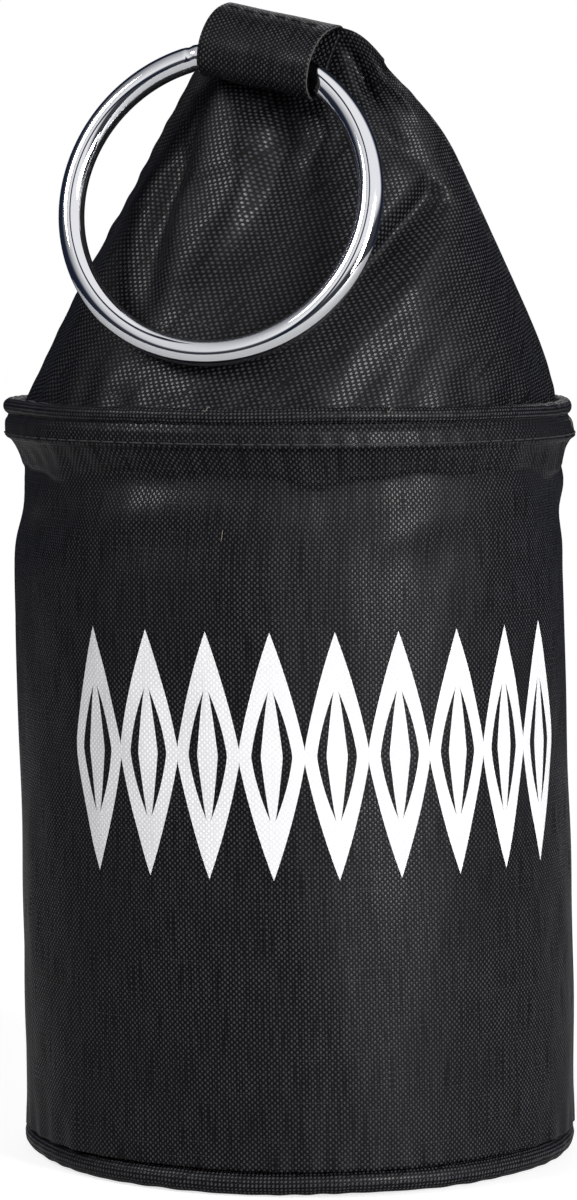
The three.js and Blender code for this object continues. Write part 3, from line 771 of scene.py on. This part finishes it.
ring = {
    "radius": 32.75 * mm,
    "wire": 5.5 * mm,
    "restAngle": math.radians(17.1),
    "jointTurn": math.radians(118),  # where the wire's ends meet, round from the right
    "jointGroove": 0.22 * mm,
    "jointWidth": 0.35 * mm,
    "steps": 288,
    "sides": 36,
}
tab = {
    "width": 25 * mm,
    "thickness": 0.9 * mm,
    "columns": 60,
    "rows": 120,
    "edgeLift": 0.5 * mm,  # the loop's open ends flare a little
    "ripple": 0.18 * mm,
    "rippleRun": 2.1 * mm,
    # from the ridge's top, forward round the wire and back up to the ridge,
    # as millimetres out and up from the hinge line
    "path": [(-9.3, 9.75), (-7.4, 10.0), (-4.4, 9.6), (0.1, 8.2), (3.5, 6.0), (5.6, 3.1), (6.1, 0.2),
             (4.9, -2.9), (1.4, -5.0), (-2.8, -4.3), (-4.95, -1.2), (-5.7, 2.5), (-7.6, 6.2), (-9.0, 8.4)],
}
hinge = np.array(frame["joints"][0]["pos_m"], float)
wireBow = ring["radius"] - math.sqrt(ring["radius"] ** 2 - (tab["width"] / 2) ** 2)
ringNormal = ridgeOut * math.cos(ring["restAngle"]) + ridgeUp * math.sin(ring["restAngle"])
ringDown = -ridgeUp * math.cos(ring["restAngle"]) + ridgeOut * math.sin(ring["restAngle"])
ringMiddle = hinge + ringDown * (ring["radius"] - wireBow / 2)
bpy.ops.object.select_all(action="DESELECT")
bpy.ops.mesh.primitive_torus_add(major_segments=ring["steps"], minor_segments=ring["sides"],
                                 major_radius=ring["radius"], minor_radius=ring["wire"] / 2)
carryRing = bpy.context.object
carryRing.name = "carryRing"
points = np.array([v.co for v in carryRing.data.vertices])
turn = np.arctan2(points[:, 1], points[:, 0])
fromJoint = (turn - ring["jointTurn"]) * ring["radius"]
groove = 1 - ring["jointGroove"] / (ring["wire"] / 2) * bump(fromJoint, ring["jointWidth"])
centre = np.stack([np.cos(turn), np.sin(turn), 0 * turn], axis=-1) * ring["radius"]
points = centre + (points - centre) * groove[:, None]
ringAxes = np.array([ridgeAlong, np.cross(ringNormal, ridgeAlong), ringNormal])
carryRing.data.vertices.foreach_set("co", (ringMiddle + points @ ringAxes).astype(np.float32).ravel())
carryRing.data.update()
finishPiece(carryRing, chrome, "ring", "chrome_wire", "carry_ring")

path = throughPoints([(out * mm, up * mm) for out, up in tab["path"]], tab["rows"])
acrossTab = np.linspace(-0.5, 0.5, tab["columns"]) * tab["width"]
out, upward = path[:, 0][:, None], path[:, 1][:, None]
shareRound = np.linspace(0, 1, tab["rows"])[:, None]
radial = path / np.maximum(lengthsOf(path), 1e-6)
edgeLift = tab["edgeLift"] * (np.abs(acrossTab[None, :]) / (tab["width"] / 2)) ** 3
ripple = tab["ripple"] * np.sin(acrossTab[None, :] / tab["rippleRun"] + 5 * shareRound)
ripple = ripple * np.sin(math.pi * shareRound)
push = edgeLift * bump(shareRound - 0.4, 0.2) + ripple
out = out + radial[:, :1] * push
upward = upward + radial[:, 1:] * push
tabGrid = hinge + acrossTab[None, :, None] * ridgeAlong
tabGrid = tabGrid + out[..., None] * ridgeOut + upward[..., None] * ridgeUp
runs = np.append(0, np.cumsum(np.linalg.norm(np.diff(path, axis=0), axis=1)))
ringTab = gridMesh("ringTab", tabGrid[::-1], clothUv(acrossTab, runs))
applyModifier(ringTab, "SOLIDIFY", thickness=tab["thickness"], offset=0)
finishPiece(ringTab, blackCanvas, "bag", "cloth", "ring_tab")
print("ring and tab done")


# sewing thread and lint

thread = {
    "radius": 0.19 * mm,
    "stitch": 3.1 * mm,
    "gap": 0.5 * mm,
    "sides": 6,
    "steps": 7,
    "hemRise": 0.12 * mm,  # how far a stitch stands out of the cloth
    "tabRise": 0.14 * mm,
    "aboveHem": 1.1 * mm,
    "hemSteps": 720,
    "tabSeam": (-3.2 * mm, 9.3 * mm),  # out and up from the hinge line
    "rawRadius": 0.17 * mm,
    "rawOut": (0.12 * mm, 0.25 * mm),  # along the ridge and off the cloth
    "rawWander": 0.07 * mm,
    "lintRadius": 0.08 * mm,
    # degrees round from the front, height in mm, slant in degrees and length in mm
    "lint": [(-14, 139, 80, 2.2), (19.5, 165.2, 5, 1.3), (-15.5, 165.4, 10, 1.5), (81, 160.5, -60, 3.0)],
}


def tubeRings(points, radii, sides):
    # rings of a tube round a line of points, and its end points
    points = np.array(points)
    run = np.gradient(points, axis=0)
    run /= np.maximum(lengthsOf(run), 1e-12)
    guide = np.array([0.13, 0.21, 0.97]) if abs(run[0][2]) < 0.8 else np.array([0.97, 0.13, 0.21])
    sideways = np.cross(run, guide)
    sideways /= lengthsOf(sideways)
    upward = np.cross(sideways, run)
    turns = np.linspace(0, 2 * math.pi, sides + 1)[:-1]
    return (points[:, None] + np.cos(turns)[None, :, None] * sideways[:, None] * radii[:, None, None]
            + np.sin(turns)[None, :, None] * upward[:, None] * radii[:, None, None])


def threadPiece(name, lines, radius):
    # one mesh of many short lengths of thread, each closed at its ends
    vertices, faces = [], []
    for points in lines:
        share = np.linspace(-1, 1, len(points))
        radii = radius * (1 - 0.55 * np.abs(share) ** 6)
        rings = tubeRings(points, radii, thread["sides"])
        start, sides, count = len(vertices), thread["sides"], len(points)
        vertices += rings.reshape(-1, 3).tolist()
        for i in range(count - 1):
            for j in range(sides):
                a, b = start + i * sides + j, start + i * sides + (j + 1) % sides
                faces.append((a, a + sides, b + sides, b))
        faces.append(tuple(start + j for j in range(sides)))
        faces.append(tuple(start + (count - 1) * sides + j for j in reversed(range(sides))))
    piece = newPiece(name, vertices, faces)
    closeUp(piece)
    return piece


def stitchesAlong(points, outwards, lift):
    # lockstitches along a line: each rises out of the cloth, lies on it and goes back in
    points, outwards = np.array(points), np.array(outwards)
    runs = np.append(0, np.cumsum(np.linalg.norm(np.diff(points, axis=0), axis=1)))
    pitch = thread["stitch"] + thread["gap"]
    lines = []
    for i in range(int(runs[-1] / pitch)):
        at = i * pitch + np.linspace(0, thread["stitch"], thread["steps"])
        place = np.stack([np.interp(at, runs, points[:, k]) for k in range(3)], axis=-1)
        away = np.stack([np.interp(at, runs, outwards[:, k]) for k in range(3)], axis=-1)
        rise = lift * (1 - 1.9 * np.abs(np.linspace(-1, 1, thread["steps"])) ** 5)
        lines.append(place + away * rise[:, None])
    return lines


hemAngles = np.linspace(-math.pi, math.pi, thread["hemSteps"])
hemHeights = np.full(thread["hemSteps"], drum["top"] - drum["hemDrop"] + thread["aboveHem"])
hemOut = np.stack([np.sin(hemAngles), -np.cos(hemAngles), 0 * hemAngles], axis=-1)
hemLines = stitchesAlong(onWall(hemAngles, hemHeights), hemOut, thread["hemRise"])
hemStitches = threadPiece("hemStitches", hemLines, thread["radius"])
finishPiece(hemStitches, blackThread, "bag", "binding")

tabOuter = surfaceNormals(tabGrid)
stitchRow = int(np.argmin(np.linalg.norm(path - np.array(thread["tabSeam"]), axis=1)))
if (tabOuter[stitchRow, tab["columns"] // 2] @ ridgeUp) < 0:
    tabOuter = -tabOuter
tabLine = tabGrid[stitchRow] + tabOuter[stitchRow] * tab["thickness"] * 0.5
tabLines = stitchesAlong(tabLine[2:-2], tabOuter[stitchRow][2:-2], thread["tabRise"])
tabStitches = threadPiece("tabStitches", tabLines, thread["radius"])
finishPiece(tabStitches, blackThread, "bag", "binding")

# the tab's raw edge at the right, where the threads have frayed pale
edgeRows = slice(6, int(tab["rows"] * 0.66))
edgeOut = tabOuter[edgeRows, -1]
rawLine = tabGrid[edgeRows, -1] + ridgeAlong * thread["rawOut"][0]
edgeWander = thread["rawWander"] * np.sin(np.arange(len(rawLine)) * 1.3)[:, None] * edgeOut
rawEdge = threadPiece("tabRawEdge", [rawLine + edgeWander + edgeOut * thread["rawOut"][1]], thread["rawRadius"])
finishPiece(rawEdge, frayed, "bag", "cloth")

# stray fibres of lint on the wall and on the piping, and a loose end at the rim's right
wallLint = []
for turnDegrees, height, lean, size in thread["lint"]:
    along = np.linspace(-0.5, 0.5, 9)
    slant = math.radians(lean)
    angle = math.radians(turnDegrees) + along * size * mm * math.cos(slant) / drum["radius"]
    z = height * mm + along * size * mm * math.sin(slant) + 0.4 * mm * np.sin(6 * along)
    place = onWall(angle, np.minimum(z, drum["top"]), 0.15 * mm)
    if height * mm > pipingMiddle - 0.8 * mm:
        place = place + np.stack([np.sin(angle), -np.cos(angle), 0 * angle], axis=-1) * 1.35 * mm
        place[:, 2] = z
    wallLint.append(place)
lintFibres = threadPiece("lintFibres", wallLint, thread["lintRadius"])
finishPiece(lintFibres, lint, "bag", "cloth")
print("thread and lint done")


# print

chain = {
    "count": 9,
    "height": 52 * mm,
    "arc": math.radians(117),
    "turn": math.radians(8.6),
    "middle": 93 * mm,
    "stroke": 3 * mm,
    "spindle": 4.6 * mm,
    "tip": 0.9 * mm,
    "neck": 3.2 * mm,
    "legBow": 0.5 * mm,
    "standOff": 0.14 * mm,
    "rows": 64,
}


def printedChain():
    # each lozenge is a left leg, a spindle in its middle and a right leg
    pitch = chain["arc"] * drum["radius"] / chain["count"]
    top, neck = chain["height"] / 2, chain["neck"] / 2
    legSlope = (top - neck) / (pitch / 2)
    innerHalf = pitch / 2 - chain["stroke"] + neck / legSlope
    innerTop = legSlope * (innerHalf - chain["tip"] / 2)
    y = np.linspace(-top, top, chain["rows"])
    rise = np.clip((top - np.abs(y)) / (top - neck), 0, 1)
    innerRise = np.clip(1 - np.abs(y) / innerTop, 0, 1)
    outer = rise * pitch / 2 + 4 * rise * (1 - rise) * chain["legBow"]
    inner = chain["tip"] / 2 + innerRise * (innerHalf - chain["tip"] / 2)
    inner += 4 * innerRise * (1 - innerRise) * chain["legBow"]
    spindle = chain["tip"] / 2 + (chain["spindle"] - chain["tip"]) / 2 * innerRise ** 0.8
    inner, spindle = np.minimum(inner, outer * 0.98), np.minimum(spindle, outer * 0.98)
    vertices, faces, uvs = [], [], []
    for i in range(chain["count"]):
        middle = (i - (chain["count"] - 1) / 2) * pitch
        for low, high in [(-outer, -inner), (-spindle, spindle), (inner, outer)]:
            start = len(vertices)
            for row in range(len(y)):
                for share in (0, 0.5, 1):
                    x = middle + mix(low[row], high[row], share)
                    height = chain["middle"] + y[row]
                    angle = chain["turn"] + x / drum["radius"]
                    vertices.append(onWall(np.array(angle), np.array(height), chain["standOff"]).tolist())
                    uvs.append((x, height))
            for row in range(len(y) - 1):
                for column in (0, 1):
                    a = start + row * 3 + column
                    faces.append((a, a + 1, a + 4, a + 3))
    return newPiece("printedChain", vertices, faces, [uvs[i] for face in faces for i in face])


printPiece = printedChain()
finishPiece(printPiece, whiteInk, "bag", "white_ink", "printed_band")
print("print done")


# base

base = {
    "edgeRadius": 55.7 * mm,
    "edgeHeight": 2.6 * mm,
    "thickness": 0.9 * mm,
    "vertices": 96,
    # shares of the radius, and the height there as a share of the edge's, less one
    "rings": ((0.985, 0.55), (0.955, 0.15), (0.9, 0.0), (0.7, 0.02), (0.45, 0.06), (0.2, 0.1)),
}
bpy.ops.object.select_all(action="DESELECT")
bpy.ops.mesh.primitive_circle_add(vertices=base["vertices"], radius=base["edgeRadius"], fill_type="NOTHING",
                                  location=(0, 0, base["edgeHeight"]))
baseDisc = bpy.context.object
baseDisc.name = "baseDisc"
bpy.ops.object.mode_set(mode="EDIT")
bpy.ops.mesh.select_all(action="SELECT")
for radius, height in base["rings"]:
    bpy.ops.mesh.extrude_region_move()
    bpy.ops.object.mode_set(mode="OBJECT")
    for vertex in baseDisc.data.vertices:
        if vertex.select:
            flat = Vector((vertex.co.x, vertex.co.y, 0))
            vertex.co = flat.normalized() * base["edgeRadius"] * radius
            vertex.co.z = base["edgeHeight"] * (height - 1)
    bpy.ops.object.mode_set(mode="EDIT")
bpy.ops.mesh.edge_face_add()
bpy.ops.mesh.poke()
bpy.ops.object.mode_set(mode="OBJECT")
closeUp(baseDisc)
bpy.ops.object.transform_apply(location=True, rotation=True, scale=True)
layer = baseDisc.data.uv_layers.active or baseDisc.data.uv_layers.new(name="cloth")
layer.name = "cloth"
for loop in baseDisc.data.loops:
    layer.data[loop.index].uv = baseDisc.data.vertices[loop.vertex_index].co.xy
applyModifier(baseDisc, "SOLIDIFY", thickness=base["thickness"], offset=-1)
finishPiece(baseDisc, blackCanvas, "bag", "cloth", "base_panel")
print("base done")

# the sealed pouch of sand stays as the part has it
sandPouch = bpy.data.objects["sand_pouch"]
sandPouch.data.materials.clear()
sandPouch.data.materials.append(baggedSand)


# camera, light, floor

view = {
    "place": (-2.53 * mm, -996 * mm, 202.7 * mm),
    "downward": math.radians(4.7),
    "sensor": 36,
    "lens": 135.7,
    "nearest": 50 * mm,
}
cameraData = bpy.data.cameras.new("photoCamera")
camera = bpy.data.objects.new("photoCamera", cameraData)
scene.collection.objects.link(camera)
camera.location = view["place"]
camera.rotation_euler = (math.pi / 2 - view["downward"], 0, 0)
cameraData.sensor_width = view["sensor"]
cameraData.lens = view["lens"]
cameraData.clip_start = view["nearest"]
scene.camera = camera

# place, the point it faces, width and height in metres, and power in watts
lamps = {
    "keyPanel": ((0.849, -1.012, 0.4), (0, 0, 0.12), 0.42, 0.7, 21),  # the soft band down the wall's right
    "frontLeft": ((-1.018, -0.496, 0.935), (0, 0, 0.2), 0.46, 0.42, 10),  # the lit folds under the ring
    "backFill": ((0.2, 1.3, 0.8), (0, 0, 0.12), 0.8, 0.8, 2.5),
}


def softbox(name, place, target, width, height, power):
    data = bpy.data.lights.new(name, "AREA")
    data.shape = "RECTANGLE"
    data.size = width
    data.size_y = height
    data.energy = power
    lamp = bpy.data.objects.new(name, data)
    scene.collection.objects.link(lamp)
    lamp.location = place
    lamp.rotation_euler = (Vector(target) - Vector(place)).to_track_quat("-Z", "Y").to_euler()


for name, values in lamps.items():
    softbox(name, *values)

# Glossy rays see a white tent with a dark gap where the camera stands, darker to the left and behind,
# and camera rays see plain white.
studio = {
    "ambient": 0.13,
    "gapAside": -0.2,
    "gapWidth": 0.12,
    "behindFrom": 0.05,  # how far round to the back the tent goes dark
    "behindTo": 0.35,
    "towardsRight": -0.6,  # the share of front to back in the direction that the tent fades along
    "fadeFrom": 0.1,
    "fadeTo": -1.0,
    "gapTone": "#1c2233",
    "tentTone": "#f6f5f6",
    "skirtTone": "#3a3c41",  # the room under the tent's edge, level with the object
    "skirtMiddle": 0.08,
    "skirtReach": 0.34,
    "floorSize": 1.5,
    "floorDrop": 0.3 * mm,
    "floorTone": "#b8b8b8",
    "floorGlow": 0.74,  # with the lamps' light this is white
    "floorMirrored": 0.15,
}
world = bpy.data.worlds.new("studio")
scene.world = world
world.use_nodes = True
tree = world.node_tree
tree.nodes.clear()
rays = addNode(tree, "ShaderNodeLightPath").outputs
rightward, backward, upwards = addNode(
    tree, "ShaderNodeSeparateXYZ", in0=addNode(tree, "ShaderNodeTexCoord").outputs["Generated"]).outputs
fromGap = maths(tree, "ABSOLUTE", maths(tree, "SUBTRACT", rightward, studio["gapAside"]))
gap = ranged(tree, fromGap, (studio["gapWidth"] * 0.5, studio["gapWidth"]), (1.0, 0.0))
gap = maths(tree, "MULTIPLY", gap, maths(tree, "LESS_THAN", backward, 0.0))
behind = ranged(tree, backward, (studio["behindFrom"], studio["behindTo"]), (0.0, 1.0))
toRight = maths(tree, "MULTIPLY_ADD", backward, studio["towardsRight"], rightward)
farLeft = ranged(tree, toRight, (studio["fadeFrom"], studio["fadeTo"]), (0.0, 1.0))
shaded = maths(tree, "MAXIMUM", maths(tree, "MAXIMUM", gap, behind), farLeft)
level = maths(tree, "ABSOLUTE", maths(tree, "ADD", upwards, studio["skirtMiddle"]))
skirt = ranged(tree, level, (studio["skirtReach"] * 0.5, studio["skirtReach"]), (0.0, 1.0))
panels = colourBetween(tree, skirt, studio["skirtTone"], studio["tentTone"])
tent = colourBetween(tree, shaded, panels, studio["gapTone"])
room = addNode(tree, "ShaderNodeBackground", Color=(1, 1, 1, 1), Strength=studio["ambient"]).outputs[0]
mirrored = addNode(tree, "ShaderNodeBackground", Color=tent, Strength=1.0).outputs[0]
white = addNode(tree, "ShaderNodeBackground", Color=(1, 1, 1, 1), Strength=1.0).outputs[0]
soft = addNode(tree, "ShaderNodeMixShader", in0=rays["Is Glossy Ray"], in1=room, in2=mirrored).outputs[0]
seen = maths(tree, "MAXIMUM", rays["Is Camera Ray"], rays["Is Transmission Ray"])
both = addNode(tree, "ShaderNodeMixShader", in0=seen, in1=soft, in2=white).outputs[0]
addNode(tree, "ShaderNodeOutputWorld", in0=both)

bpy.ops.object.select_all(action="DESELECT")
bpy.ops.mesh.primitive_plane_add(size=studio["floorSize"], location=(0, 0, -studio["floorDrop"]))
floor = bpy.context.object
floor.name = "studioFloor"
# White paper: dull, and lit up to white for the camera, so that only the object's shadow shows on it.
floorMaterial, floorTree, floorShader = newMaterial("whitePaperFloor", Roughness=0.9)
floorShader.inputs["Base Color"].default_value = linearOf(studio["floorTone"])
floorRays = addNode(floorTree, "ShaderNodeLightPath").outputs
glowShare = maths(floorTree, "MULTIPLY", floorRays["Is Glossy Ray"], studio["floorMirrored"])
glowShare = maths(floorTree, "MAXIMUM", floorRays["Is Camera Ray"], glowShare)
glowLevel = maths(floorTree, "MULTIPLY", glowShare, studio["floorGlow"])
glow = addNode(floorTree, "ShaderNodeEmission", Strength=glowLevel).outputs[0]
paper = addNode(floorTree, "ShaderNodeAddShader", in0=floorShader.outputs[0], in1=glow).outputs[0]
floorTree.links.new(paper, floorTree.nodes["Material Output"].inputs["Surface"])
floor.data.materials.append(floorMaterial)
scene.view_settings.view_transform = "Standard"

print("scene done")
